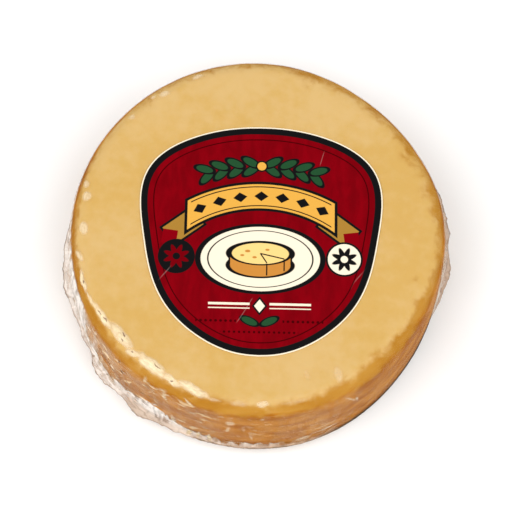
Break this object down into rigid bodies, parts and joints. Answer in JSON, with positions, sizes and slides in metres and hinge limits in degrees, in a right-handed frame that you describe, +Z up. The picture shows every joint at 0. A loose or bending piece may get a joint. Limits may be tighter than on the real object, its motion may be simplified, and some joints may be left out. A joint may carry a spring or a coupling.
{
  "type": "smoked gouda",
  "caption": "Small flat round of smoked gouda in clear shrink-wrapped film with crinkled loose fins at the wall, and a red crest-shaped sticker on its flat top.",
  "frame": {"origin": "centre of the flat base, on the surface it stands on", "axes": "+Z up, +Y towards the head of the sticker, +X to the right of somebody who reads it"},
  "size_m": [0.0966, 0.0956, 0.0312],
  "materials": {
    "cheese": "satin",
    "film": "gloss",
    "label_paper": "satin"
  },
  "bodies": {
    "root": {"wrapped_round": "cheese", "label": "label_paper"}
  },
  "joints": []
}
